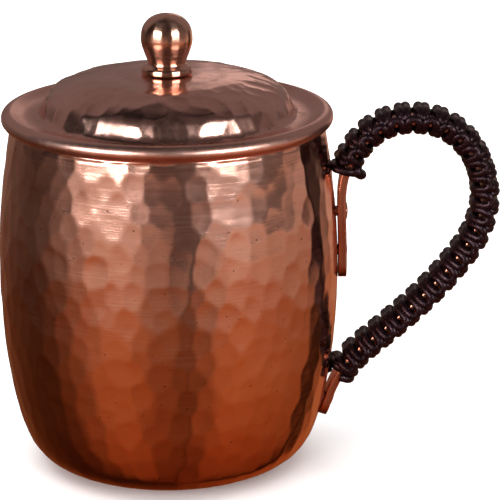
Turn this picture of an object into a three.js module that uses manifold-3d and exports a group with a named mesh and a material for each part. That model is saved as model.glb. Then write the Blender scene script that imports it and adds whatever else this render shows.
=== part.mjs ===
// A hammered copper mug with a lift-off domed lid, a turned knob and a flat strap handle that is
// wrapped in a knotted cord. Millimetres, +Z up, handle towards +X, origin at the centre of the base.
import * as THREE from 'three';
import { mergeVertices } from 'three/addons/utils/BufferGeometryUtils.js';
import Module from 'manifold-3d';

const wasm = await Module();
wasm.setup();

// ---- Driving dimensions -------------------------------------------------------------------------

const GAP = 0.3; // room left between pieces that touch

const WALL = 1.2; // the mug's copper sheet
const RIM_Z = 94.15; // top of the mug's wall, below its rounded lip
const BASE_R = 22; // flat part of the base
// The barrel's outside from the flat base to the rim, as radius and height.
const BARREL = [
  [BASE_R, 0],
  [31.5, 1.6],
  [36.9, 4.6],
  [40.3, 10.4],
  [43.1, 21],
  [45.3, 37],
  [46, 54],
  [45.3, 71],
  [43.4, 86.5],
  [42.2, RIM_Z],
];
const BARREL_STEPS = 15;
const ROUND = 48; // segments round the mug and the lid
const FINE_ROUND = 28; // segments round the knob
const SMALL_ROUND = 16; // segments round rivets, screw and washer

const LID_SHEET = 1.0;
const LID_TOP_Z = 108; // the flat middle of the dome
const LID_HOLE_R = 2.0;
const FLANGE_Z = 97.4; // top of the flange
// The lid's outside from its hole, over the dome and its step, to the flange, as radius and height.
const DOME = [
  [LID_HOLE_R, LID_TOP_Z],
  [9, LID_TOP_Z],
  [16, 107.9],
  [21, 107.45],
  [25, 106.6],
  [28, 105.6],
  [30.6, 104.3],
  [32.4, 102.6],
  [33.4, 100.5],
  [34.2, 98.2],
  [35.2, FLANGE_Z],
];
const DOME_STEPS = 14;
const BEAD_R = 42.35; // centre of the rolled bead
const BEAD_Z = 96.85;
const BEAD_ROUND = 2.1; // radius of the bead's section

const COLLAR_R = 39.8; // outside of the ring that drops into the mug's mouth
const COLLAR_SHEET = 0.8;
const COLLAR_LOW_Z = 88;

const KNOB_FOOT_Z = LID_TOP_Z + GAP;
const KNOB_TOP_Z = 124.35;
const KNOB_BORE_R = 1.9;
const KNOB_BORE_TOP_Z = 117;
// The knob's outside above its foot: a low collar, a waist and an egg-shaped ball.
const KNOB_COLLAR = [
  [6.85, KNOB_FOOT_Z],
  [6.85, 109.5],
  [6.55, 110.1],
  [5.7, 110.35],
];
const KNOB_BALL = [
  [5.15, 110.9],
  [5.25, 111.8],
  [6.0, 113.8],
  [6.75, 116.2],
  [6.9, 118.2],
  [6.35, 120.8],
  [4.7, 122.9],
  [2.4, 124],
  [0, KNOB_TOP_Z],
];

const SCREW_R = 1.6;
const SCREW_TOP_Z = 116;
const SCREW_HEAD_R = 3.4;
const SCREW_HEAD_HIGH = 2.0;
const SCREW_SLOT = [0.9, 1.0]; // width and depth
const WASHER_R = 4.6;
const WASHER_SHEET = 0.8;

const STRAP_WIDE = 8;
const STRAP_THICK = 1.8;
// The middle of the strap's thickness, from the end of the upper tab, over the loop, to the end of
// the lower tab, as x and z.
const STRAP_LINE = [
  [47.2, 51.3],
  [47.2, 57],
  [47.2, 64],
  [47.2, 71],
  [47.2, 77],
  [48.1, 82.6],
  [50.6, 87.6],
  [54.4, 91.9],
  [59.4, 94.8],
  [65.6, 95.9],
  [72.6, 94.8],
  [78.4, 91.3],
  [82.6, 86],
  [84.9, 79.8],
  [85.6, 73.2],
  [84.3, 66.5],
  [81.2, 60.2],
  [76.7, 54],
  [71.4, 47.8],
  [65.4, 41.8],
  [58.9, 36],
  [52.8, 30.7],
  [48.6, 26],
  [45.6, 20.8],
  [43.8, 16],
  [42.2, 11.2],
];
const STRAP_STEPS = 64;
const UPPER_RIVET_Z = [70, 59];
const LOWER_TAB_POINTS = 3; // points at the end of STRAP_LINE that lie along the lower tab

const RIVET_R = 1.4;
const RIVET_HOLE_R = 1.75;
const RIVET_HEAD_R = 2.6;
const RIVET_HEAD_HIGH = 0.7;
const RIVET_TAIL_R = 2.4;
const RIVET_TAIL_HIGH = 0.8;

const CORD_ROUND = 2.7; // diameter of the cord
const CORD_SIDES = 6;
const CORD_STEP = 2.2; // length of one straight piece of the cord's tube
const HALF_KNOTS = 25;
const WRAP_START_Z = 83.2; // height of the strap's line where the wrap begins
const WRAP_END_Z = 26.2; // and where it ends

// ---- Helpers ------------------------------------------------------------------------------------

const COPPER = { color: 0xb87355, roughness: 0.24, metalness: 1 };
const POLISHED_COPPER = { color: 0xd08a66, roughness: 0.12, metalness: 1 };
const STRAP_COPPER = { color: 0xa8684c, roughness: 0.35, metalness: 1 };
const BRASS = { color: 0xb5914f, roughness: 0.3, metalness: 1 };
const DARK_CORD = { color: 0x1d0f10, roughness: 0.55, metalness: 0 };

const model = new THREE.Group();

function addPiece(name, geometry, look) {
  const mesh = new THREE.Mesh(geometry, new THREE.MeshStandardMaterial(look));
  mesh.name = name;
  model.add(mesh);
  return mesh;
}

// Turns an outline of [radius, height] points, listed anticlockwise, about the Z axis.
function turned(outline, segments) {
  const points = outline.map(([radius, height]) => new THREE.Vector2(radius, height));
  const geometry = new THREE.LatheGeometry(points, segments);
  geometry.rotateX(Math.PI / 2);
  return geometry;
}

// The welded triangles of a closed geometry, as a manifold-3d solid.
function toSolid(geometry) {
  const bare = geometry.clone();
  bare.deleteAttribute('normal');
  bare.deleteAttribute('uv');
  const welded = mergeVertices(bare, 1e-4);
  const corners = welded.index.array;
  const kept = [];
  for (let i = 0; i < corners.length; i += 3) {
    const [a, b, c] = [corners[i], corners[i + 1], corners[i + 2]];
    if (a !== b && b !== c && c !== a) kept.push(a, b, c);
  }
  return new wasm.Manifold(
    new wasm.Mesh({
      numProp: 3,
      vertProperties: new Float32Array(welded.attributes.position.array),
      triVerts: new Uint32Array(kept),
    }),
  );
}

function toGeometry(solid) {
  const mesh = solid.getMesh();
  const geometry = new THREE.BufferGeometry();
  geometry.setAttribute('position', new THREE.BufferAttribute(mesh.vertProperties, 3));
  geometry.setIndex(new THREE.BufferAttribute(mesh.triVerts, 1));
  geometry.computeVertexNormals();
  return geometry;
}

function cut(geometry, ...tools) {
  return toGeometry(tools.reduce((solid, tool) => solid.subtract(toSolid(tool)), toSolid(geometry)));
}

// Points along a smooth curve through the given ones.
function smooth(points, steps) {
  const curve = new THREE.SplineCurve(points.map(([x, y]) => new THREE.Vector2(x, y)));
  return curve.getSpacedPoints(steps).map((p) => [p.x, p.y]);
}

// The same points moved sideways: to the left of the direction in which they run.
function offset(points, distance) {
  return points.map((point, i) => {
    const before = points[Math.max(i - 1, 0)];
    const after = points[Math.min(i + 1, points.length - 1)];
    const along = new THREE.Vector2(after[0] - before[0], after[1] - before[1]).normalize();
    return [point[0] - along.y * distance, point[1] + along.x * distance];
  });
}

function arc(centre, radius, fromDegrees, toDegrees, steps) {
  return Array.from({ length: steps + 1 }, (_, i) => {
    const angle = THREE.MathUtils.degToRad(fromDegrees + ((toDegrees - fromDegrees) * i) / steps);
    return [centre[0] + radius * Math.cos(angle), centre[1] + radius * Math.sin(angle)];
  });
}

// A cylinder about the line through a point of the XZ plane, along a direction in that plane.
function drill(radius, length, [x, z], [alongX, alongZ]) {
  const geometry = new THREE.CylinderGeometry(radius, radius, length, SMALL_ROUND);
  geometry.rotateX(Math.PI / 2);
  geometry.rotateY(Math.atan2(alongX, alongZ));
  geometry.translate(x, 0, z);
  return geometry;
}

// ---- The rivets' places -------------------------------------------------------------------------

const tabX = STRAP_LINE[0][0];
const [tabTop, , tabEnd] = STRAP_LINE.slice(-LOWER_TAB_POINTS);
const tabRun = new THREE.Vector2(tabTop[0] - tabEnd[0], tabTop[1] - tabEnd[1]).normalize();
const tabMiddle = STRAP_LINE[STRAP_LINE.length - 2];

// Each rivet: a point on the strap's line, the outward direction, and how far behind the strap's
// line the mug's inner surface lies.
const RIVETS = [
  { name: 'upper_rivet_high', at: [tabX, UPPER_RIVET_Z[0]], out: [1, 0], depth: 3.35 },
  { name: 'upper_rivet_low', at: [tabX, UPPER_RIVET_Z[1]], out: [1, 0], depth: 2.65 },
  { name: 'lower_rivet', at: tabMiddle, out: [tabRun.y, -tabRun.x], depth: 3.4 },
];

// ---- Mug body -----------------------------------------------------------------------------------

function mugBody() {
  const outside = smooth(BARREL, BARREL_STEPS);
  const inside = offset(outside, WALL).reverse();
  inside[inside.length - 1][1] = WALL;
  const lip = [(outside.at(-1)[0] + inside[0][0]) / 2, RIM_Z + WALL / 6];
  const shell = turned([[0, 0], ...outside, lip, ...inside, [0, WALL]], ROUND);
  const holes = RIVETS.map((rivet) => drill(RIVET_HOLE_R, 12, rivet.at, rivet.out));
  return cut(shell, ...holes);
}

// ---- Lid ----------------------------------------------------------------------------------------

function lidShell() {
  const top = [...smooth(DOME, DOME_STEPS), [BEAD_R - BEAD_ROUND + 0.2, FLANGE_Z]];
  const under = offset(top, -LID_SHEET);
  under[0][0] = LID_HOLE_R;
  const bead = arc([BEAD_R, BEAD_Z], BEAD_ROUND, -170, 145, 11);
  return turned([...under, ...bead, ...top.reverse(), under[0]], ROUND);
}

function lidCollar() {
  const high = FLANGE_Z - LID_SHEET - GAP;
  const inner = COLLAR_R - COLLAR_SHEET;
  return turned([
    [inner, COLLAR_LOW_Z],
    [COLLAR_R, COLLAR_LOW_Z],
    [COLLAR_R, high],
    [inner, high],
    [inner, COLLAR_LOW_Z],
  ], ROUND);
}

function lidKnob() {
  const ball = smooth(KNOB_BALL, 16);
  return turned([
    [0, KNOB_BORE_TOP_Z],
    [KNOB_BORE_R, KNOB_BORE_TOP_Z],
    [KNOB_BORE_R, KNOB_FOOT_Z],
    ...KNOB_COLLAR,
    ...ball,
  ], FINE_ROUND);
}

function knobWasher() {
  const high = LID_TOP_Z - LID_SHEET - 1.5 * GAP;
  const low = high - WASHER_SHEET;
  return turned([
    [KNOB_BORE_R, low],
    [WASHER_R, low],
    [WASHER_R, high],
    [KNOB_BORE_R, high],
    [KNOB_BORE_R, low],
  ], SMALL_ROUND);
}

function knobScrew() {
  const high = LID_TOP_Z - LID_SHEET - WASHER_SHEET - 2.5 * GAP;
  const low = high - SCREW_HEAD_HIGH;
  const screw = turned([
    [0, low],
    [SCREW_HEAD_R - 0.9, low],
    [SCREW_HEAD_R, low + 0.9],
    [SCREW_HEAD_R, high],
    [SCREW_R, high],
    [SCREW_R, SCREW_TOP_Z - 0.8],
    [SCREW_R - 0.6, SCREW_TOP_Z],
    [0, SCREW_TOP_Z],
  ], SMALL_ROUND);
  const [slotWide, slotDeep] = SCREW_SLOT;
  const slot = new THREE.BoxGeometry(3 * SCREW_HEAD_R, slotWide, 2 * slotDeep);
  slot.translate(0, 0, low);
  return cut(screw, slot);
}

// ---- Handle -------------------------------------------------------------------------------------

const strapCurve = new THREE.SplineCurve(STRAP_LINE.map(([x, z]) => new THREE.Vector2(x, z)));
strapCurve.arcLengthDivisions = 2000;

// Cuts the corners off a tab's end, so that it is a half circle seen from the front.
function cornerCutter([x, z], [awayX, awayZ]) {
  const half = STRAP_WIDE / 2;
  const block = new THREE.BoxGeometry(12, STRAP_WIDE + 4, 2 * half);
  block.translate(0, 0, half);
  const round = new THREE.CylinderGeometry(half, half, 14, 2 * SMALL_ROUND);
  round.rotateZ(Math.PI / 2);
  const cutter = toGeometry(toSolid(block).subtract(toSolid(round)));
  cutter.rotateY(Math.atan2(awayX, awayZ));
  cutter.translate(x - awayX * half, 0, z - awayZ * half);
  return cutter;
}

function handleStrap() {
  const line = strapCurve.getSpacedPoints(STRAP_STEPS).map((p) => [p.x, p.y]);
  const side = [...offset(line, STRAP_THICK / 2), ...offset(line, -STRAP_THICK / 2).reverse()];
  const shape = new THREE.Shape(side.map(([x, z]) => new THREE.Vector2(x, z)));
  const bar = new THREE.ExtrudeGeometry(shape, { depth: STRAP_WIDE, bevelEnabled: false });
  bar.rotateX(Math.PI / 2);
  bar.translate(0, STRAP_WIDE / 2, 0);
  const holes = RIVETS.map((rivet) => drill(RIVET_HOLE_R, 6, rivet.at, rivet.out));
  const ends = [
    cornerCutter(STRAP_LINE[0], [0, -1]),
    cornerCutter(tabEnd, [-tabRun.x, -tabRun.y]),
  ];
  return cut(bar, ...holes, ...ends);
}

// A rivet along +Z, with the strap's middle at height 0 and its domed head above.
function rivet({ at, out, depth }) {
  const seat = STRAP_THICK / 2 + GAP;
  const tail = -depth - GAP;
  const geometry = turned([
    [0, tail - RIVET_TAIL_HIGH],
    [RIVET_TAIL_R - 0.3, tail - RIVET_TAIL_HIGH],
    [RIVET_TAIL_R, tail],
    [RIVET_R, tail],
    [RIVET_R, seat],
    [RIVET_HEAD_R, seat],
    [RIVET_HEAD_R * 0.9, seat + RIVET_HEAD_HIGH * 0.45],
    [RIVET_HEAD_R * 0.6, seat + RIVET_HEAD_HIGH * 0.85],
    [0, seat + RIVET_HEAD_HIGH],
  ], SMALL_ROUND);
  geometry.rotateY(Math.atan2(out[0], out[1]));
  geometry.translate(at[0], 0, at[1]);
  return geometry;
}

// ---- Cord wrap ----------------------------------------------------------------------------------

// Two cords are knotted round the strap in square knots. One cord makes every bar across the
// strap's outer face, and the other every bar across its inner face; at the strap's edges they
// hook round each other. These are the points of one half knot: the distance from the strap's
// middle across its width, the height over its middle, and how far along the half knot.
const edge = STRAP_WIDE / 2;
const barHigh = STRAP_THICK / 2 + CORD_ROUND / 2 + 1.3 * GAP;
const HALF_KNOT = [
  [0, barHigh, 0],
  [edge + 0.5, barHigh - 0.1, 0.03],
  [edge + 0.75 * CORD_ROUND, 0.35 * barHigh, 0.26],
  [edge + 1.1 * CORD_ROUND, -0.3 * barHigh, 0.5],
  [edge + 1.4 * CORD_ROUND, 0.35 * barHigh, 0.74],
  [edge + 0.9, barHigh - 0.1, 0.97],
];

// How far along the strap's line, as a share of its length, it first or last passes a height.
function shareAtHeight(z, fromShare, toShare) {
  let [low, high] = [fromShare, toShare];
  const rising = strapCurve.getPointAt(high).y > strapCurve.getPointAt(low).y;
  for (let i = 0; i < 40; i += 1) {
    const middle = (low + high) / 2;
    const below = strapCurve.getPointAt(middle).y < z;
    if (below === rising) low = middle;
    else high = middle;
  }
  return low;
}

const wrapStart = shareAtHeight(WRAP_START_Z, 0, 0.3);
const wrapEnd = shareAtHeight(WRAP_END_Z, 0.6, 1);

// A point given across, over and along the strap.
function onStrap(across, over, halfKnots) {
  const share = wrapStart + ((wrapEnd - wrapStart) * halfKnots) / (HALF_KNOTS - 1);
  const point = strapCurve.getPointAt(share);
  const along = strapCurve.getTangentAt(share);
  return new THREE.Vector3(point.x - along.y * over, across, point.y + along.x * over);
}

// side is 1 for the cord over the outer face and -1 for the one over the inner face.
function gripCord(side) {
  const points = [];
  for (let k = -1; k < HALF_KNOTS; k += 1) {
    const turn = k % 2 === 0 ? -side : side;
    HALF_KNOT.forEach(([across, over, along]) => {
      const halfKnots = k + along;
      const isWrapped = halfKnots > -0.6 && halfKnots < HALF_KNOTS - 0.4;
      if (isWrapped) points.push(onStrap(turn * across, side * over, halfKnots));
    });
  }
  const path = new THREE.CatmullRomCurve3(points, false, 'centripetal');
  path.arcLengthDivisions = 4000;
  const section = new THREE.Shape(
    arc([0, 0], CORD_ROUND / 2, 0, 360, CORD_SIDES).slice(1).map(([x, y]) => new THREE.Vector2(x, y)),
  );
  const steps = Math.round(path.getLength() / CORD_STEP);
  return new THREE.ExtrudeGeometry(section, { steps, extrudePath: path, bevelEnabled: false });
}

// ---- The object ---------------------------------------------------------------------------------

addPiece('mug_body', mugBody(), COPPER);
addPiece('handle_strap', handleStrap(), STRAP_COPPER);
RIVETS.forEach((place) => addPiece(place.name, rivet(place), STRAP_COPPER));
addPiece('grip_cord_outer', gripCord(1), DARK_CORD);
addPiece('grip_cord_inner', gripCord(-1), DARK_CORD);
addPiece('lid_shell', lidShell(), COPPER);
addPiece('lid_locating_collar', lidCollar(), STRAP_COPPER);
addPiece('lid_knob', lidKnob(), POLISHED_COPPER);
addPiece('knob_washer', knobWasher(), BRASS);
addPiece('knob_screw', knobScrew(), BRASS);

export default model;
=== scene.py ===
"""A hammered copper mug with a lift-off lid, a turned knob and a strap handle wrapped in cord.

Lengths are in millimetres until a mesh is made, and the handle points along +X.
"""

import math

import bmesh
import bpy
import numpy as np
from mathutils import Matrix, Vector


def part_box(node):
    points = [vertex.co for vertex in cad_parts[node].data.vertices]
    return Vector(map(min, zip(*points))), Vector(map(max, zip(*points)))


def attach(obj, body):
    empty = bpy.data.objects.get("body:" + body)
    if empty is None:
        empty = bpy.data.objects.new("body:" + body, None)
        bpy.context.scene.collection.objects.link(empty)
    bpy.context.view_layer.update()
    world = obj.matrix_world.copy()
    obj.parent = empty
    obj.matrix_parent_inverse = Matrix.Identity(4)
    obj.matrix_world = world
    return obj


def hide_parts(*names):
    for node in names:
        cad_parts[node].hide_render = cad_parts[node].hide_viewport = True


MM = 0.001
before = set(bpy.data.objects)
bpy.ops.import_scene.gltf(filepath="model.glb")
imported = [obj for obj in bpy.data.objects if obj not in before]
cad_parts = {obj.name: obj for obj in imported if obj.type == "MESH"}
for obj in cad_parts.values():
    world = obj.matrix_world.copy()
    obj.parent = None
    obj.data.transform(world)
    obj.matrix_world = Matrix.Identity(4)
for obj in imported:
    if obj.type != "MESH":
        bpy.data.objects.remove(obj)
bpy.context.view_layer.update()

# ---- Sizes shared with the frame -----------------------------------------------------------------

GAP = 0.3
WALL = 1.2
RIM_Z = 94.15
# Outside of the barrel, from the flat base to the rim, as radius and height.
BARREL = [
    (22, 0),
    (31.5, 1.6),
    (36.9, 4.6),
    (40.3, 10.4),
    (43.1, 21),
    (45.3, 37),
    (46, 54),
    (45.3, 71),
    (43.4, 86.5),
    (42.2, RIM_Z),
]

LID_SHEET = 1.0
LID_HOLE_R = 2.0
FLANGE_Z = 97.4
# Outside of the lid from its hole, over the dome and its step, to the flange.
DOME = [
    (LID_HOLE_R, 108),
    (9, 108),
    (16, 107.9),
    (21, 107.45),
    (25, 106.6),
    (28, 105.6),
    (30.6, 104.3),
    (32.4, 102.6),
    (33.4, 100.5),
    (34.2, 98.2),
    (35.2, FLANGE_Z),
]
BEAD_R = 42.35
BEAD_Z = 96.85
BEAD_ROUND = 2.1
# The flange goes on from the step's foot and sweeps up into the bead.
FLANGE = [(37.2, FLANGE_Z - 0.05), (39.4, 97.75), (41.63, 98.82)]

COLLAR_R = 39.8
COLLAR_SHEET = 0.8

KNOB_BORE_R = 1.9
KNOB_BORE_TOP_Z = 117
KNOB_FOOT = [(KNOB_BORE_R, 108.3), (6.6, 108.3), (6.85, 108.5), (6.85, 109.4), (6.6, 110.0)]
KNOB_BALL = [
    (5.7, 110.35),
    (5.15, 110.9),
    (5.25, 111.8),
    (6.0, 113.8),
    (6.75, 116.2),
    (6.9, 118.2),
    (6.35, 120.8),
    (4.7, 122.9),
    (2.4, 124),
    (0, 124.35),
]

STRAP_WIDE = 8.0
STRAP_THICK = 1.8
# The middle of the strap's thickness, from the upper tab's end to the lower tab's end, as x and z.
# The frame holds the upper tab straight. Here it follows the barrel, a little closer to it.
STRAP_LINE = [
    (47.1, 51.3),
    (47.1, 57),
    (46.95, 64),
    (46.7, 71),
    (46.85, 77),
    (48.05, 82.6),
    (50.6, 87.6),
    (54.4, 91.9),
    (59.4, 94.8),
    (65.6, 95.9),
    (72.6, 94.8),
    (78.4, 91.3),
    (82.6, 86),
    (84.9, 79.8),
    (85.6, 73.2),
    (84.3, 66.5),
    (81.2, 60.2),
    (76.7, 54),
    (71.4, 47.8),
    (65.4, 41.8),
    (58.9, 36),
    (52.8, 30.7),
    (48.6, 26),
    (45.6, 20.8),
    (43.8, 16),
    (42.2, 11.2),
]
RIVET_HEAD_R = 2.6
RIVET_HEAD_HIGH = 0.7
RIVET_R = 1.4
RIVET_TAIL_R = 2.4
RIVET_TAIL_HIGH = 0.8

# ---- Lines ---------------------------------------------------------------------------------------


def evenly(line, step):
    """The same line with its points at even distances of about step."""
    line = np.array(line, float)
    run = runs_along(line)
    at = np.linspace(0, run[-1], max(1, round(run[-1] / step)) + 1)
    return np.column_stack([np.interp(at, run, line[:, i]) for i in range(line.shape[1])])


def smooth(points, steps=24):
    """A Catmull-Rom curve through the points, with that many steps between each two."""
    points = np.array(points, float)
    padded = np.vstack([points[:1], points, points[-1:]])
    t = np.linspace(0, 1, steps, endpoint=False)[:, None]
    pieces = []
    for p0, p1, p2, p3 in zip(padded, padded[1:], padded[2:], padded[3:]):
        tangent_in = (p2 - p0) / 2
        tangent_out = (p3 - p1) / 2
        pieces.append(
            (2 * t**3 - 3 * t**2 + 1) * p1
            + (t**3 - 2 * t**2 + t) * tangent_in
            + (3 * t**2 - 2 * t**3) * p2
            + (t**3 - t**2) * tangent_out
        )
    return np.vstack([*pieces, points[-1:]])


def left_of(line):
    """Unit vectors to the left of the direction in which a flat line runs."""
    along = np.gradient(line, axis=0)
    along /= np.linalg.norm(along, axis=1)[:, None] + 1e-12
    return np.column_stack([-along[:, 1], along[:, 0]])


def arc(centre, radius, start, end, steps):
    """Points on an arc between two angles in degrees."""
    angles = np.radians(np.linspace(start, end, steps + 1))
    return np.column_stack(
        [
            centre[0] + radius * np.cos(angles),
            centre[1] + radius * np.sin(angles),
        ]
    )


def runs_along(line):
    """How far each point of a line is along it."""
    lengths = np.linalg.norm(np.diff(line, axis=0), axis=1)
    return np.concatenate([[0], np.cumsum(lengths)])


# ---- Meshes --------------------------------------------------------------------------------------


def piece(name, points, faces, smooth_angle=None):
    """A mesh object from points in millimetres, with its faces turned outward and shaded smooth."""
    mesh = bpy.data.meshes.new(name)
    mesh.from_pydata((np.asarray(points) * MM).tolist(), [], faces)
    solid = bmesh.new()
    solid.from_mesh(mesh)
    bmesh.ops.recalc_face_normals(solid, faces=solid.faces)
    solid.to_mesh(mesh)
    solid.free()
    mesh.shade_smooth()
    if smooth_angle is not None:
        mesh.set_sharp_from_angle(angle=math.radians(smooth_angle))
    obj = bpy.data.objects.new(name, mesh)
    bpy.context.scene.collection.objects.link(obj)
    return obj


def turned(name, outline, around, dents=None, ridges=None, smooth_angle=None):
    """Turns an outline of radius and height about Z. The outline starts and ends on the axis, or it
    closes on itself. dents holds how far each point is pressed in, in rows along the outline, and
    ridges how close it is to a ridge, which the material reads as the attribute "ridge"."""
    outline = np.array(outline, float)
    angles = np.linspace(0, 2 * math.pi, around, endpoint=False)
    inward = left_of(outline)
    closes = outline[0][0] > 0
    points = []
    rings = []
    closeness = []
    for row, (radius, height) in enumerate(outline):
        count = around if radius > 0 else 1
        press = dents[row][:count] if dents is not None else np.zeros(count)
        radii = radius + inward[row][0] * press * (radius > 0)
        heights = height + inward[row][1] * press
        turn = angles[:count]
        rings.append((len(points), count))
        points.extend(np.column_stack([radii * np.cos(turn), radii * np.sin(turn), heights]))
        if ridges is not None:
            closeness.extend(ridges[row][:count])
    faces = []
    pairs = list(zip(rings, rings[1:])) + ([(rings[-1], rings[0])] if closes else [])
    for (a, a_count), (b, b_count) in pairs:
        for j in range(around):
            k = (j + 1) % around
            quad = [a + j % a_count, a + k % a_count, b + k % b_count, b + j % b_count]
            faces.append(list(dict.fromkeys(quad)))  # a triangle where a ring is one point
    obj = piece(name, np.array(points), faces, smooth_angle)
    if ridges is not None:
        attribute = obj.data.attributes.new("ridge", "FLOAT", "POINT")
        attribute.data.foreach_set("value", np.array(closeness, np.float32))
    return obj


def swept(name, centres, side, up, sections):
    """Joins one closed section round each centre. side and up are each section's two directions, and
    sections holds its points along them."""
    count = sections.shape[1]
    points = (
        centres[:, None, :]
        + sections[:, :, :1] * side[:, None, :]
        + sections[:, :, 1:] * up[:, None, :]
    ).reshape(-1, 3)
    faces = []
    for i in range(len(centres) - 1):
        for j in range(count):
            k = (j + 1) % count
            faces.append([i * count + j, i * count + k, (i + 1) * count + k, (i + 1) * count + j])
    faces.append(list(range(count)))
    faces.append(list(range(len(points) - count, len(points))))
    return piece(name, points, faces)


# ---- Hammering -----------------------------------------------------------------------------------

ROW_SPACING = 5.5  # distance between the mug's rows of blows
STRAY_ALONG = 0.85  # how far a blow strays from its row
STRAY_ROUND = 0.17  # and from its place in the row, in blows
UNEVEN = (0.6, 1.4)  # how shallow and how deep a blow can be, for the usual depth
LEAN_ROUND = 0.026  # how far a blow leans to either side
LEAN_ALONG = 0.017  # and up or down
OVERLAP_TILT = 0.012  # each row of blows bites a little into the row above it
RIM_RISE = 0.00016  # how steeply a mark rises at its rim, to the fourth power of distance
MARK_REACH = 2.2 * ROW_SPACING  # blows further away along the outline are left out
DEEPEST = 4  # how many of the blows over a point are counted
SHARP_RIDGE = 0.008  # height over which the ridge between two full blows is rounded
RIDGE_FADE = 0.035  # a point is on a ridge if its two deepest blows are no further apart than this

# Each blow's depth, the distance between blows in a row, and how fast a mark rises with the square
# of the distance round the piece and along its outline.
MUG_BLOWS = {"depth": 0.13, "spacing": 5.4, "rise_round": 0.0125, "rise_along": 0.0042}
LID_BLOWS = {"depth": 0.24, "spacing": 3.9, "rise_round": 0.022, "rise_along": 0.02}


def blows(random, rows, depth, spacing):
    """Places blows in rows round a turned piece: each blow's run along the outline, its angle, its
    depth and its two leans. rows holds each row's run, its radius and its share of the depth."""
    made = []
    for run, radius, share in rows:
        count = max(6, round(2 * math.pi * radius / spacing))
        phase = random.uniform(0, 2 * math.pi)
        for i in range(count):
            made.append(
                (
                    run + random.normal(0, STRAY_ALONG),
                    phase + 2 * math.pi * (i + random.normal(0, STRAY_ROUND)) / count,
                    depth * share * random.uniform(*UNEVEN),
                    random.normal(0, LEAN_ROUND) * share,
                    (OVERLAP_TILT + random.normal(0, LEAN_ALONG)) * share,
                )
            )
    return np.array(made)


def hammered(outline, around, random, rows, depth, spacing, rise_round, rise_along):
    """How far the blows press in each point, and how close the point is to a ridge between two."""
    marks = blows(random, rows, depth, spacing)
    runs = runs_along(outline)
    row_runs, _, row_shares = np.array(sorted(rows)).T
    softness = SHARP_RIDGE / np.interp(runs, row_runs, row_shares) ** 2
    angles = np.linspace(0, 2 * math.pi, around, endpoint=False)
    press = np.zeros((len(outline), around))
    ridge = np.zeros((len(outline), around))
    for row, (run, radius) in enumerate(zip(runs, outline[:, 0])):
        near = marks[np.abs(marks[:, 0] - run) < MARK_REACH]
        if len(near) < 2 or radius <= 0:
            continue
        turn = (angles[:, None] - near[:, 1] + math.pi) % (2 * math.pi) - math.pi
        across = turn * radius
        along = run - near[:, 0]
        deep = near[:, 2] - rise_round * across**2 - rise_along * along**2
        deep -= RIM_RISE * (across**2 + along**2) ** 2
        deep += near[:, 3] * across + near[:, 4] * along
        ordered = np.sort(deep, axis=1)
        # The deepest blow wins, or the bare sheet, with its edges rounded by a soft maximum.
        deepest = np.maximum(ordered[:, -DEEPEST:], -1)
        bare = np.zeros((around, 1))
        soft = softness[row]
        press[row] = soft * np.logaddexp.reduce(np.hstack([deepest, bare]) / soft, axis=1)
        lead = ordered[:, -1] - np.maximum(ordered[:, -2], 0)
        ridge[row] = np.exp(-lead / RIDGE_FADE) * (ordered[:, -1] > 0)
    return press, ridge


# ---- Mug -----------------------------------------------------------------------------------------

FINE_STEP = 0.7  # spacing of the points on a hammered surface
PLAIN_STEP = 2.2
INSIDE_THIN = 4  # the mug's inside takes every fourth of the outside's points
MUG_AROUND = 420
MUG_SEED = 11
UNHAMMERED = 0.12  # how far the sheet stands out before it is hammered
LOWEST_ROW = 12  # from the edge of the flat base to the lowest row of blows
HIGHEST_ROW = 2.5  # from the rim down to the highest
# The blows are lighter towards the base, as a share of the rim's run and of the full depth.
MUG_SHARES = [(0.45, 0.78), (0.72, 0.95), (1.0, 1.0)]
LOWEST_SHARE = 0.65


def mug_rows(outline, length):
    """The mug's rows of blows, from the rim down. length is the barrel's, along its outline."""
    first = BARREL[0][0] + LOWEST_ROW
    last = BARREL[0][0] + length - HIGHEST_ROW
    places = np.arange(last, first, -ROW_SPACING)
    stops = [first, *(part * last for part, _ in MUG_SHARES)]
    shares = np.interp(places, stops, [LOWEST_SHARE, *(share for _, share in MUG_SHARES)])
    radii = np.interp(places, runs_along(outline), outline[:, 0])
    return list(zip(places, radii, shares))


def mug_body():
    barrel = evenly(smooth(BARREL), FINE_STEP)
    barrel[1:-1] -= UNHAMMERED * left_of(barrel)[1:-1]
    base = evenly([(0, 0), BARREL[0]], PLAIN_STEP)[:-1]
    inner = (barrel + WALL * left_of(barrel))[::INSIDE_THIN][::-1]
    inner[-1][1] = WALL
    lip = arc((barrel[-1][0] - WALL / 2, RIM_Z), WALL / 2, 20, 160, 4)
    floor = evenly([inner[-1], (0, WALL)], PLAIN_STEP)[1:]
    outline = np.vstack([base, barrel, lip, inner[1:], floor])
    rows = mug_rows(outline, runs_along(barrel)[-1])
    random = np.random.default_rng(MUG_SEED)
    press, ridge = hammered(outline, MUG_AROUND, random, rows, **MUG_BLOWS)
    inside = len(base) + len(barrel)
    press[inside:] = 0
    ridge[inside:] = 0
    return turned("mug_body_visual", outline, MUG_AROUND, press, ridge)


# ---- Lid -----------------------------------------------------------------------------------------

LID_AROUND = 400
UNDER_THIN = 3  # the lid's underside takes every third of the top's points
LID_SEED = 5
# The lid's rows of blows, as radius and share of the full depth: heavy on the step, light above it.
LID_ROWS = [(33.4, 1.2), (30.2, 1.3), (26.8, 1.25), (23, 0.6), (18.5, 0.25), (14, 0.2)]
# The bead's round, in degrees, from under the flange to where its top runs on into it.
BEAD_ARC = (-185, 104)
BEAD_STEPS = 36


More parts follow.
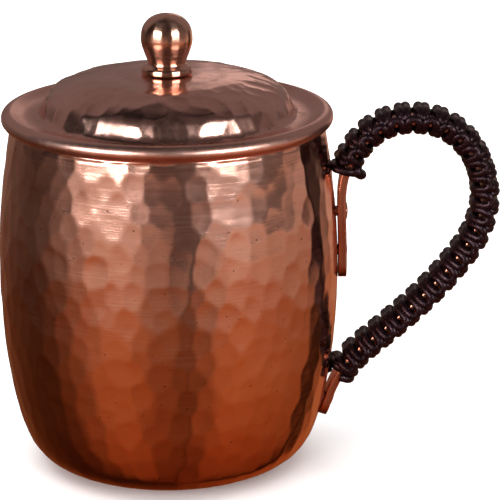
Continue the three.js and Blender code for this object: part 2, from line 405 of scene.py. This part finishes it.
def lid_shell():
    top = evenly(smooth(DOME + FLANGE), FINE_STEP)
    under = (top - LID_SHEET * left_of(top))[::UNDER_THIN]
    under = under[under[:, 0] < BEAD_R - BEAD_ROUND]
    under[0][0] = LID_HOLE_R
    bead = arc((BEAD_R, BEAD_Z), BEAD_ROUND, *BEAD_ARC, BEAD_STEPS)
    outline = np.vstack([under, bead, top[::-1]])
    runs = runs_along(outline)
    top_start = len(under) + len(bead)
    rows = []
    for radius, share in LID_ROWS:
        run = np.interp(-radius, -outline[top_start:, 0], runs[top_start:])
        rows.append((run, radius, share))
    random = np.random.default_rng(LID_SEED)
    press, ridge = hammered(outline, LID_AROUND, random, rows, **LID_BLOWS)
    press[:top_start] = 0
    ridge[:top_start] = 0
    return turned("lid_shell_visual", outline, LID_AROUND, press, ridge)


COLLAR_AROUND = 160
COLLAR_CORNER = 0.25


def lid_collar():
    low, high = (corner.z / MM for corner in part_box("lid_locating_collar"))
    inner = COLLAR_R - COLLAR_SHEET
    outline = [
        (inner, low + COLLAR_CORNER),
        (inner + COLLAR_CORNER, low),
        (COLLAR_R - COLLAR_CORNER, low),
        (COLLAR_R, low + COLLAR_CORNER),
        (COLLAR_R, high),
        (inner, high),
    ]
    return turned("lid_collar_visual", outline, COLLAR_AROUND, smooth_angle=50)


KNOB_AROUND = 128
KNOB_STEP = 0.3


def lid_knob():
    foot = evenly(KNOB_FOOT, KNOB_STEP)
    ball = evenly(smooth(KNOB_BALL), KNOB_STEP)
    bore = [(0, KNOB_BORE_TOP_Z), (KNOB_BORE_R, KNOB_BORE_TOP_Z)]
    return turned("lid_knob_visual", np.vstack([bore, foot, ball]), KNOB_AROUND)


# ---- Handle --------------------------------------------------------------------------------------

STRAP_EDGE = 0.55  # rounding of the strap's long edges
CORNER_STEPS = 6
STRAP_FACE = 0.45  # the strap is this much thicker than in the frame, on the side of the mug
STRAP_STEP = 0.25
STRAP_THIN = 3  # the strap's own mesh takes every third of those steps
STRAP_TIP = 0.02  # how far short of its point the strap's rounded end stops

strap_line = evenly(smooth(STRAP_LINE), STRAP_STEP)
strap_out = left_of(strap_line)


def on_strap(share, across, over):
    """Points given by their share of the strap's length, across its width and over its middle."""
    at = np.clip(share, 0, 1) * (len(strap_line) - 1)
    index = np.arange(len(strap_line))
    line = np.column_stack([np.interp(at, index, strap_line[:, i]) for i in (0, 1)])
    out = np.column_stack([np.interp(at, index, strap_out[:, i]) for i in (0, 1)])
    flat = line + out * np.asarray(over)[:, None]
    return np.column_stack([flat[:, 0], across, flat[:, 1]])


def strap_section():
    """The strap's rounded rectangle, as points across and over its middle."""
    corners = []
    wide = STRAP_WIDE / 2 - STRAP_EDGE
    high = STRAP_THICK / 2 - STRAP_EDGE
    low = -high - STRAP_FACE
    for start, (x, y) in enumerate(((wide, high), (-wide, high), (-wide, low), (wide, low))):
        corners.append(arc((x, y), STRAP_EDGE, 90 * start, 90 * start + 90, CORNER_STEPS))
    return np.vstack(corners)


def handle_strap():
    line = strap_line[::STRAP_THIN]
    out = strap_out[::STRAP_THIN]
    index = np.arange(len(line))
    from_end = np.minimum(index, index[::-1]) * STRAP_THIN * STRAP_STEP
    half = STRAP_WIDE / 2
    missing = np.clip(half - from_end - STRAP_TIP, 0, half)
    width = np.sqrt(half**2 - missing**2) / half
    section = strap_section()
    sections = np.repeat(section[None], len(line), axis=0)
    sections[:, :, 0] *= width[:, None]
    centres = np.column_stack([line[:, 0], np.zeros(len(line)), line[:, 1]])
    side = np.tile([0.0, 1.0, 0.0], (len(line), 1))
    up = np.column_stack([out[:, 0], np.zeros(len(line)), out[:, 1]])
    return swept("handle_strap_visual", centres, side, up, sections)


RIVET_AROUND = 48
RIVET_SINK = 0.15  # how far a head is sunk into the strap
RIVET_RIM = 0.1  # height of the head's straight rim
RIVET_TAIL_CORNER = 0.3
# Where the frame has the two upper rivets, and the direction out of a strap that stands upright.
UPPER_RIVETS = [(47.2, 70), (47.2, 59)]
UPRIGHT = (1, 0)


def rivet(name, node, at, out):
    """A rivet whose domed head stands on the strap, at a point of the strap's line. Its length is
    the frame's."""
    low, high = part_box(node)
    seat = STRAP_THICK / 2 - RIVET_SINK
    reach = (high - low).x / MM / abs(out[0])
    tail = seat + GAP + RIVET_HEAD_HIGH - reach
    shank = [
        (0, tail),
        (RIVET_TAIL_R - RIVET_TAIL_CORNER, tail),
        (RIVET_TAIL_R, tail + RIVET_TAIL_HIGH),
        (RIVET_R, tail + RIVET_TAIL_HIGH),
        (RIVET_R, seat),
        (RIVET_HEAD_R - RIVET_RIM, seat),
    ]
    rim = seat + RIVET_RIM
    dome = [
        (RIVET_HEAD_R * math.cos(t), rim + (RIVET_HEAD_HIGH - RIVET_RIM) * math.sin(t))
        for t in np.linspace(0, math.pi / 2, 16)[:-1]
    ]
    outline = np.vstack([shank, dome, [(0, seat + RIVET_HEAD_HIGH)]])
    obj = turned(name, outline, RIVET_AROUND, smooth_angle=40)
    obj.rotation_euler = (0, math.atan2(out[0], out[1]), 0)
    obj.location = (at[0] * MM, 0, at[1] * MM)
    return obj


# ---- Cord wrap -----------------------------------------------------------------------------------

HALF_KNOTS = 51
KNOT_PITCH = 2.36  # length of a half knot along the strap
WRAP_START_Z = 83.9
WRAP_END_Z = 26.4
BAR_WIDE = 2.9  # the cord's size along the strap where it lies across it as a bar
BAR_HIGH = 3.2
LOOP_WIDE = 2.15  # and where it turns round the strap's edge
LOOP_HIGH = 1.75
BAR_ENDS = 0.9  # the cord has a loop's size from this far outside the strap's edge
BAR_FADE = 2.2  # and a bar's size this much further in
MIDDLE_LOW = 0.4  # how much lower a bar lies over the strap's middle than near its edges
PAIRED = 0.17  # how far two bars lean towards each other as a pair, in half knots
TURN_IN = 0.7  # the cord turns round a line this far inside the strap's edge
CORD_STEP = 0.45
CORD_SIDES = 14
CORD_CLEAR = 0.15  # least distance from the mug

edge = STRAP_WIDE / 2
bar_high = STRAP_THICK / 2 + BAR_HIGH / 2
# One half knot: across the strap, over its middle, and along in half knots. The outer cord's loops
# lie against the strap's edge. The inner cord's loops hook over them from one pair to the next.
OUTER_KNOT = [
    (0, bar_high - MIDDLE_LOW, 0),
    (edge - 1.6, bar_high - 0.1, 0.01),
    (edge + 0.1, bar_high - 0.1, 0.03),
    (edge + 1.3, 0.6 * bar_high, 0.04),
    (edge + 0.9, 0.25 * bar_high, 0.5),
    (edge + 1.3, 0.6 * bar_high, 0.96),
    (edge + 0.1, bar_high - 0.1, 0.97),
    (edge - 1.6, bar_high - 0.1, 0.99),
]
INNER_KNOT = [
    (0, bar_high - MIDDLE_LOW, 0),
    (edge - 1.2, bar_high - 0.2, 0),
    (edge + 0.7, 0.76 * bar_high, 0),
    (edge + 1.8, 0.2 * bar_high, 0),
    (edge + 2.3, -0.25 * bar_high, 0.12),
    (edge + 2.1, -0.5 * bar_high, 0.5),
    (edge + 2.3, -0.25 * bar_high, 0.88),
    (edge + 1.8, 0.2 * bar_high, 1.0),
    (edge + 0.7, 0.76 * bar_high, 1.0),
    (edge - 1.2, bar_high - 0.2, 1.0),
]
# The turn that ends a cord, from a bar's middle once and a half round the strap.
END_TURN = [
    (edge - 0.8, bar_high, 0.08),
    (edge + 0.9, 0.5 * bar_high, 0.2),
    (edge + 1.3, 0, 0.3),
    (edge + 0.9, -0.5 * bar_high, 0.4),
    (edge - 0.8, -bar_high, 0.5),
    (-edge + 0.8, -bar_high, 0.75),
    (-edge - 0.9, -0.5 * bar_high, 0.85),
    (-edge - 1.3, 0, 0.9),
    (-edge - 0.9, 0.5 * bar_high, 0.95),
    (-edge + 0.8, bar_high, 1.0),
    (edge - 0.8, bar_high, 1.1),
    (edge + 0.9, 0.5 * bar_high, 1.2),
    (edge + 1.3, -0.1 * bar_high, 1.3),
]
# The inner cord's end, which is tucked between the strap and the mug.
END_TUCK = [
    (edge - 0.8, bar_high, 0.2),
    (edge + 0.4, bar_high + 0.6, 0.5),
    (edge - 1.2, bar_high + 1.6, 0.9),
    (0, bar_high + 1.9, 1.2),
    (-edge + 1.6, bar_high + 1.5, 1.5),
]


def share_at_height(z, low, high):
    """The share of the strap's length, between low and high, at which it is nearest to a height."""
    span = range(int(low * len(strap_line)), int(high * len(strap_line)))
    best = min(span, key=lambda i: abs(strap_line[i][1] - z))
    return best / (len(strap_line) - 1)


wrap_start = share_at_height(WRAP_START_Z, 0, 0.3)
wrap_end = share_at_height(WRAP_END_Z, 0.6, 1)


def cord_path(side):
    """A cord's path, from its one end to the other, as along in half knots, across and over."""
    last = HALF_KNOTS - 1
    knots = []
    for k in range(last):
        turn = -1 if (k % 2 == 0) == (side == 1) else 1
        for across, over, along in OUTER_KNOT if side == 1 else INNER_KNOT:
            knots.append((k + along, turn * across, side * over))
    closing = END_TURN if side == 1 else END_TUCK
    start = [(-along, side * across, side * over) for across, over, along in closing]
    turn = -1 if (last % 2 == 0) == (side == 1) else 1
    middle = (last, 0, side * (bar_high - MIDDLE_LOW))
    end = [(last + along, turn * across, side * over) for across, over, along in closing]
    path = smooth([*start[::-1], *knots, middle, *end], steps=8)
    path[:, 0] += PAIRED * np.cos(math.pi * np.clip(path[:, 0], 0, last))
    return path


def grip_cord(name, side):
    """One of the two cords: side is 1 for the one over the outer face and -1 for the inner one."""
    path = cord_path(side)
    path[:, 0] *= KNOT_PITCH
    path = evenly(path, CORD_STEP)
    share = wrap_start + (wrap_end - wrap_start) * path[:, 0] / KNOT_PITCH / (HALF_KNOTS - 1)
    centres = on_strap(share, path[:, 1], path[:, 2])
    # The flat of the cord faces away from the strap, and turns with it round the strap's edge.
    core = edge - TURN_IN
    lean = np.column_stack([path[:, 1] - np.clip(path[:, 1], -core, core), path[:, 2]])
    lean /= np.linalg.norm(lean, axis=1)[:, None] + 1e-9
    away = on_strap(share, path[:, 1] + lean[:, 0], path[:, 2] + lean[:, 1]) - centres
    tangent = np.gradient(centres, axis=0)
    tangent /= np.linalg.norm(tangent, axis=1)[:, None]
    across = np.cross(tangent, away)
    across /= np.linalg.norm(across, axis=1)[:, None]
    up = np.cross(across, tangent)
    bar = np.clip((edge + BAR_ENDS - np.abs(path[:, 1])) / BAR_FADE, 0, 1)
    wide = LOOP_WIDE + (BAR_WIDE - LOOP_WIDE) * bar
    high = LOOP_HIGH + (BAR_HIGH - LOOP_HIGH) * bar
    ring = np.linspace(0, 2 * math.pi, CORD_SIDES, endpoint=False)
    sections = np.stack(
        [
            wide[:, None] / 2 * np.cos(ring)[None, :],
            high[:, None] / 2 * np.sin(ring)[None, :],
        ],
        axis=2,
    )
    return swept(name, centres, across, up, sections)


def clear_of_mug(obj):
    """Squeezes a cord out of the mug's wall, as where its last turns are pressed against it."""
    barrel = smooth(BARREL)
    count = len(obj.data.vertices)
    points = np.zeros(3 * count)
    obj.data.vertices.foreach_get("co", points)
    points = points.reshape(-1, 3) / MM
    radius = np.hypot(points[:, 0], points[:, 1])
    least = np.interp(points[:, 2], barrel[:, 1], barrel[:, 0]) + CORD_CLEAR
    points[:, :2] *= np.maximum(1, least / radius)[:, None]
    obj.data.vertices.foreach_set("co", (points * MM).ravel())
    obj.data.update()


# ---- Materials -----------------------------------------------------------------------------------


class Look:
    """A node material with short calls for the nodes it needs."""

    def __init__(self, name):
        self.material = bpy.data.materials.new(name)
        self.material.use_nodes = True
        self.tree = self.material.node_tree
        self.shader = self.tree.nodes["Principled BSDF"]
        self.place = self.node("ShaderNodeTexCoord").outputs["Object"]

    def node(self, kind, **settings):
        made = self.tree.nodes.new(kind)
        for key, value in settings.items():
            setattr(made, key, value)
        return made

    def link(self, source, target):
        self.tree.links.new(source, target)

    def noise(self, scale, stretch=(1, 1, 1), detail=3.0, roughness=0.55, distortion=0.0):
        """Noise with features of about 1/scale metres, drawn out where stretch is small."""
        mapping = self.node("ShaderNodeMapping")
        mapping.inputs["Scale"].default_value = stretch
        self.link(self.place, mapping.inputs["Vector"])
        made = self.node("ShaderNodeTexNoise")
        made.inputs["Scale"].default_value = scale
        made.inputs["Detail"].default_value = detail
        made.inputs["Roughness"].default_value = roughness
        made.inputs["Distortion"].default_value = distortion
        self.link(mapping.outputs["Vector"], made.inputs["Vector"])
        return made.outputs["Fac"]

    def remap(self, value, low, high, to_low, to_high):
        made = self.node("ShaderNodeMapRange")
        self.link(value, made.inputs["Value"])
        for name, number in (
            ("From Min", low),
            ("From Max", high),
            ("To Min", to_low),
            ("To Max", to_high),
        ):
            made.inputs[name].default_value = number
        return made.outputs["Result"]

    def mix(self, share, first, second):
        """Mixes two colours, each a colour or an output."""
        made = self.node("ShaderNodeMix", data_type="RGBA")
        self.link(share, made.inputs["Factor"])
        for socket, value in ((made.inputs[6], first), (made.inputs[7], second)):
            if isinstance(value, tuple):
                socket.default_value = (*value, 1)
            else:
                self.link(value, socket)
        return made.outputs[2]

    def math(self, operation, first, second):
        made = self.node("ShaderNodeMath", operation=operation)
        for socket, value in zip(made.inputs, (first, second)):
            if isinstance(value, (int, float)):
                socket.default_value = value
            else:
                self.link(value, socket)
        return made.outputs["Value"]

    def radius(self):
        """The distance from the object's Z axis, in metres."""
        level = self.node("ShaderNodeVectorMath", operation="MULTIPLY")
        level.inputs[1].default_value = (1, 1, 0)
        self.link(self.place, level.inputs[0])
        length = self.node("ShaderNodeVectorMath", operation="LENGTH")
        self.link(level.outputs["Vector"], length.inputs[0])
        return length.outputs["Value"]

    def bump(self, height, distance, after=None):
        """A bump whose full height is distance metres, over another one if after is given."""
        made = self.node("ShaderNodeBump")
        made.inputs["Strength"].default_value = 1.0
        made.inputs["Distance"].default_value = distance
        self.link(height, made.inputs["Height"])
        if after is not None:
            self.link(after, made.inputs["Normal"])
        return made.outputs["Normal"]

    def finish(self, colour, roughness, normal=None, metallic=0.0, **settings):
        self.shader.inputs["Metallic"].default_value = metallic
        self.link(colour, self.shader.inputs["Base Color"])
        self.link(roughness, self.shader.inputs["Roughness"])
        if normal is not None:
            self.link(normal, self.shader.inputs["Normal"])
        for name, value in settings.items():
            self.shader.inputs[name.replace("_", " ")].default_value = value
        return self.material


# Depths of bumps, and the distance over which polished copper turns satin, in metres.
SCRATCH_DEPTH = 0.000014
DIMPLE_DEPTH = 0.00003
FIBRE_DEPTH = 0.00014
SATIN_FADE = 0.0015
SATIN_ROUGHNESS = 0.13  # added to the copper's own


def copper(
    name,
    bright,
    deep,
    rough,
    scratch_stretch,
    ridges=False,
    turned_grain=False,
    satin_beyond=None,
):
    """Bare copper that has been handled: blotches of thin tarnish, fine scratches and tiny specks.
    ridges paints a highlight on the ridges between hammer marks by brightening their colour,
    turned_grain smears the shine as fine lathe marks do, and the copper is satin beyond a radius
    from the axis."""
    look = Look(name)
    tarnish = look.remap(look.noise(45, detail=5), 0.35, 0.7, 0, 1)
    colour = look.mix(tarnish, bright, deep)
    specks = look.remap(look.noise(900, detail=1), 0.74, 0.78, 0, 0.7)
    colour = look.mix(specks, colour, tuple(c * 0.25 for c in deep))
    if ridges:
        # Painted highlight: the copper's colour is made brighter along the ridges between hammer
        # marks, standing in for the glints that light leaves there.
        ridge = look.node("ShaderNodeAttribute", attribute_name="ridge").outputs["Fac"]
        painted_ridge_highlight = tuple(min(1, c * 1.15) for c in bright)
        colour = look.mix(look.remap(ridge, 0.5, 1, 0, 0.35), colour, painted_ridge_highlight)
    lines = look.noise(1.0, stretch=scratch_stretch, detail=4, roughness=0.7)
    roughness = look.remap(look.noise(70, detail=4), 0.3, 0.7, rough * 0.8, rough * 1.25)
    roughness = look.math("ADD", roughness, look.remap(lines, 0.45, 0.8, 0, 0.12))
    if satin_beyond is not None:
        full_satin = satin_beyond + SATIN_FADE
        satin = look.remap(look.radius(), satin_beyond, full_satin, 0, SATIN_ROUGHNESS)
        roughness = look.math("ADD", roughness, satin)
    normal = look.bump(lines, SCRATCH_DEPTH)
    normal = look.bump(look.noise(260, detail=2), DIMPLE_DEPTH, normal)
    if turned_grain:
        around = look.node("ShaderNodeTangent", direction_type="RADIAL", axis="Z")
        look.link(around.outputs["Tangent"], look.shader.inputs["Tangent"])
        grain = {"Anisotropic": 0.95, "Anisotropic_Rotation": 0.25}
        return look.finish(colour, roughness, normal, metallic=1.0, **grain)
    return look.finish(colour, roughness, normal, metallic=1.0)


def cord_material():
    """Waxed cotton cord: nearly black, with a plum shine on its fibres."""
    look = Look("dark_cord")
    fibres = look.noise(1500, detail=3, distortion=1.0)
    patches = look.remap(look.noise(180, detail=3), 0.35, 0.65, 0, 1)
    colour = look.mix(patches, (0.0018, 0.0006, 0.0009), (0.0042, 0.0013, 0.0020))
    colour = look.mix(look.remap(fibres, 0.5, 0.75, 0, 0.5), colour, (0.014, 0.005, 0.0075))
    roughness = look.remap(fibres, 0.3, 0.7, 0.18, 0.3)
    normal = look.bump(fibres, FIBRE_DEPTH)
    return look.finish(
        colour,
        roughness,
        normal,
        Specular_IOR_Level=0.42,
        Specular_Tint=(0.95, 0.60, 0.70, 1),
    )


def floor_material():
    look = Look("pale_floor")
    shade = look.mix(look.noise(3, detail=2), (0.88, 0.88, 0.88), (0.91, 0.91, 0.91))
    roughness = look.remap(look.noise(20), 0.3, 0.7, 0.6, 0.7)
    return look.finish(shade, roughness, Specular_IOR_Level=0.1)


# ---- Studio --------------------------------------------------------------------------------------

# In metres and degrees; the lens and the sensor in millimetres.
CAMERA_AIM = (0.0221, 0, 0.0588)
CAMERA_DISTANCE = 0.600
CAMERA_TILT = 17.15
CAMERA_LENS = 158.2
SENSOR = 36.0
FLOOR_HALF = 4.0
FLOOR_BELOW = 0.0002  # how far the floor is under the mug's base
LIGHT_PLACE = (-0.2, 0.1, 2.0)
LIGHT_ACROSS = 3.0
LIGHT_WATTS = 50


def camera():
    data = bpy.data.cameras.new("camera")
    data.lens = CAMERA_LENS
    data.sensor_width = SENSOR
    obj = bpy.data.objects.new("camera", data)
    tilt = math.radians(CAMERA_TILT)
    back = Vector((0, -math.cos(tilt), math.sin(tilt)))
    obj.location = Vector(CAMERA_AIM) + back * CAMERA_DISTANCE
    obj.rotation_mode = "QUATERNION"
    obj.rotation_quaternion = (-back).to_track_quat("-Z", "Y")
    bpy.context.scene.collection.objects.link(obj)
    bpy.context.scene.camera = obj


def studio_floor():
    half = FLOOR_HALF / MM
    low = -FLOOR_BELOW / MM
    corners = [(-half, -half, low), (half, -half, low), (half, half, low), (-half, half, low)]
    obj = piece("studio_floor", corners, [[0, 1, 2, 3]])
    obj.data.materials.append(floor_material())
    obj.visible_glossy = False


def overhead_light():
    """A wide soft light that the copper doesn't mirror, for the floor and the cord."""
    data = bpy.data.lights.new("overhead", "AREA")
    data.shape = "DISK"
    data.size = LIGHT_ACROSS
    data.energy = LIGHT_WATTS
    obj = bpy.data.objects.new("overhead", data)
    obj.location = LIGHT_PLACE
    obj.rotation_mode = "QUATERNION"
    obj.rotation_quaternion = Vector(LIGHT_PLACE).to_track_quat("Z", "Y")
    obj.visible_glossy = False
    bpy.context.scene.collection.objects.link(obj)


# What the copper mirrors, as elevation in degrees and colour: the table below, then the room.
ROOM = [
    (-90, (0.10, 0.016, 0.004)),
    (-54, (0.25, 0.046, 0.009)),
    (-44, (0.32, 0.068, 0.016)),
    (-32, (0.39, 0.11, 0.032)),
    (-20, (0.43, 0.150, 0.062)),
    (-14, (0.50, 0.26, 0.175)),
    (-8, (0.62, 0.42, 0.33)),
    (-4, (0.60, 0.41, 0.34)),
    (-1, (0.30, 0.20, 0.17)),
    (6, (0.18, 0.13, 0.12)),
    (14, (0.11, 0.085, 0.08)),
    (90, (0.08, 0.062, 0.06)),
]
# How much of that there is, by azimuth in degrees from the camera.
AROUND = [
    (-180, 0.45),
    (-150, 0.34),
    (-135, 0.2),
    (-117, 0.15),
    (-100, 0.11),
    (-84, 0.2),
    (-64, 0.5),
    (-46, 0.9),
    (-27, 0.95),
    (-11, 0.62),
    (-3, 0.56),
    (6, 0.5),
    (12, 0.34),
    (19, 0.34),
    (27, 0.7),
    (47, 1.0),
    (66, 0.9),
    (84, 0.8),
    (100, 0.7),
    (111, 0.75),
    (117, 0.1),
    (130, 0.06),
    (135, 0.5),
    (141, 0.95),
    (152, 1.0),
    (165, 0.8),
    (180, 0.45),
]
# Patches over it: azimuth and half width, lowest and highest elevation, softness, all in degrees,
# and the colour.
PATCHES = [
    # the wall behind the mug, and a pale panel on it
    (180, 75, 4, 58, 12, (0.19, 0.145, 0.14)),
    (174, 7, 9.5, 19, 1.5, (0.85, 0.64, 0.58)),
    # the dim glow under the soft boxes, and the dark places beside and between them
    (-43, 26, -3.5, 9, 3, (0.62, 0.48, 0.43)),
    (44, 18, -3.5, 9, 3, (0.36, 0.29, 0.27)),
    (77, 15, -6.5, 30, 3, (0.13, 0.10, 0.09)),
    (15, 6, -15, 30, 3, (0.09, 0.065, 0.06)),
    # the two soft boxes, and their brighter upper parts
    (-42, 18, 6.3, 24, 2, (9, 9, 9)),
    (44, 16, 7.3, 24, 2, (8, 8, 8)),
    (-42, 18, 14, 24, 2, (13, 13, 13)),
    (44, 16, 14, 24, 2, (13, 13, 13)),
]


def room_light():
    """The room that the copper mirrors, as a world: soft boxes either side of the camera, a dim
    ceiling and a warm table. The camera sees plain white, and matt surfaces are lit by it."""
    world = bpy.data.worlds.new("studio")
    world.use_nodes = True
    bpy.context.scene.world = world
    tree = world.node_tree
    tree.nodes.clear()

    def node(kind, **settings):
        made = tree.nodes.new(kind)
        for key, value in settings.items():
            setattr(made, key, value)
        return made

    def calculate(operation, *values):
        made = node("ShaderNodeMath", operation=operation)
        for socket, value in zip(made.inputs, values):
            if isinstance(value, (int, float)):
                socket.default_value = value
            else:
                tree.links.new(value, socket)
        return made.outputs["Value"]

    def fade(value, low, high):
        made = node("ShaderNodeMapRange", interpolation_type="SMOOTHSTEP")
        tree.links.new(value, made.inputs["Value"])
        made.inputs["From Min"].default_value = low
        made.inputs["From Max"].default_value = high
        return made.outputs["Result"]

    def ramp(value, stops):
        made = node("ShaderNodeValToRGB")
        tree.links.new(value, made.inputs["Fac"])
        elements = made.color_ramp.elements
        while len(elements) < len(stops):
            elements.new(1)
        for element, (position, shade) in zip(elements, stops):
            element.position = position
            element.color = (*shade, 1)
        return made.outputs["Color"]

    direction = node("ShaderNodeTexCoord").outputs["Generated"]
    split = node("ShaderNodeSeparateXYZ")
    tree.links.new(direction, split.inputs["Vector"])
    x, y, z = (split.outputs[i] for i in range(3))
    turned_from_camera = calculate("ARCTAN2", x, calculate("MULTIPLY", y, -1))
    azimuth = calculate("MULTIPLY", turned_from_camera, 180 / math.pi)
    elevation = calculate("MULTIPLY", calculate("ARCSINE", z), 180 / math.pi)

    heights = [((degrees + 90) / 180, shade) for degrees, shade in ROOM]
    turns = [((degrees + 180) / 360, (share,) * 3) for degrees, share in AROUND]
    by_height = ramp(calculate("MULTIPLY_ADD", elevation, 1 / 180, 0.5), heights)
    by_turn = ramp(calculate("MULTIPLY_ADD", azimuth, 1 / 360, 0.5), turns)
    product = node("ShaderNodeMix", data_type="RGBA", blend_type="MULTIPLY")
    product.inputs["Factor"].default_value = 1
    tree.links.new(by_height, product.inputs[6])
    tree.links.new(by_turn, product.inputs[7])
    colour = product.outputs[2]

    for centre, half, low, high, soft, shade in PATCHES:
        from_centre = calculate("WRAP", calculate("SUBTRACT", azimuth, centre), 180, -180)
        turn = calculate("ABSOLUTE", from_centre)
        sides = calculate("SUBTRACT", 1.0, fade(turn, half - soft, half + soft))
        bottom = fade(elevation, low - soft / 2, low + soft / 2)
        top = calculate("SUBTRACT", 1.0, fade(elevation, high - soft, high + soft))
        share = calculate("MULTIPLY", sides, calculate("MULTIPLY", bottom, top))
        mixed = node("ShaderNodeMix", data_type="RGBA")
        tree.links.new(share, mixed.inputs["Factor"])
        tree.links.new(colour, mixed.inputs[6])
        mixed.inputs[7].default_value = (*shade, 1)
        colour = mixed.outputs[2]

    mirrored = node("ShaderNodeBackground")
    tree.links.new(colour, mirrored.inputs["Color"])
    seen = node("ShaderNodeBackground")
    seen.inputs["Color"].default_value = (1, 1, 1, 1)
    chosen = node("ShaderNodeMixShader")
    rays = node("ShaderNodeLightPath").outputs
    plain = calculate("MAXIMUM", rays["Is Camera Ray"], rays["Is Diffuse Ray"])
    tree.links.new(plain, chosen.inputs["Fac"])
    tree.links.new(mirrored.outputs[0], chosen.inputs[1])
    tree.links.new(seen.outputs[0], chosen.inputs[2])
    tree.links.new(chosen.outputs[0], node("ShaderNodeOutputWorld").inputs["Surface"])


# ---- The object ----------------------------------------------------------------------------------

hammered_copper = copper(
    "hammered_copper",
    bright=(0.93, 0.57, 0.46),
    deep=(0.80, 0.41, 0.29),
    rough=0.13,
    scratch_stretch=(60, 60, 2500),
    ridges=True,
)
lid_copper = copper(
    "lid_copper",
    bright=(0.91, 0.56, 0.47),
    deep=(0.78, 0.43, 0.34),
    rough=0.17,
    scratch_stretch=(500, 900, 60),
    ridges=True,
    satin_beyond=0.0345,
)
knob_copper = copper(
    "polished_copper",
    bright=(0.95, 0.60, 0.46),
    deep=(0.90, 0.50, 0.36),
    rough=0.14,
    scratch_stretch=(60, 60, 2500),
    turned_grain=True,
)
strap_copper = copper(
    "strap_copper",
    bright=(0.80, 0.38, 0.26),
    deep=(0.62, 0.25, 0.16),
    rough=0.24,
    scratch_stretch=(1200, 200, 200),
)
brass = copper(
    "fastener_brass",
    bright=(0.82, 0.62, 0.30),
    deep=(0.66, 0.46, 0.20),
    rough=0.2,
    scratch_stretch=(800, 800, 800),
)
dark_cord = cord_material()


def place(obj, body, slot, material, *nodes):
    """Gives a piece its material, and puts it on a body in place of one or more CAD nodes."""
    obj.data.materials.append(material)
    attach(obj, body)
    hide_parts(*nodes)


camera()
studio_floor()
overhead_light()
room_light()

place(mug_body(), "mug", "hammered_copper", hammered_copper, "mug_body")
place(handle_strap(), "mug", "strap_copper", strap_copper, "handle_strap")
lower_tab = np.subtract(STRAP_LINE[-3], STRAP_LINE[-1])
lower_tab /= np.linalg.norm(lower_tab)
lower_out = (lower_tab[1], -lower_tab[0])
for name, node, at, out in (
    ("rivet_high_visual", "upper_rivet_high", UPPER_RIVETS[0], UPRIGHT),
    ("rivet_low_visual", "upper_rivet_low", UPPER_RIVETS[1], UPRIGHT),
    ("rivet_bottom_visual", "lower_rivet", STRAP_LINE[-2], lower_out),
):
    place(rivet(name, node, at, out), "mug", "strap_copper", strap_copper, node)

for name, side, node in (
    ("cord_outer_visual", 1, "grip_cord_outer"),
    ("cord_inner_visual", -1, "grip_cord_inner"),
):
    wrap = grip_cord(name, side)
    clear_of_mug(wrap)
    place(wrap, "mug", "cord", dark_cord, node)

place(lid_shell(), "lid", "hammered_copper", lid_copper, "lid_shell")
place(lid_collar(), "lid", "strap_copper", strap_copper, "lid_locating_collar")
place(lid_knob(), "lid", "polished_copper", knob_copper, "lid_knob")
for node in ("knob_washer", "knob_screw"):
    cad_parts[node].data.materials.clear()
    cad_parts[node].data.materials.append(brass)

bpy.context.scene.view_settings.view_transform = "Standard"
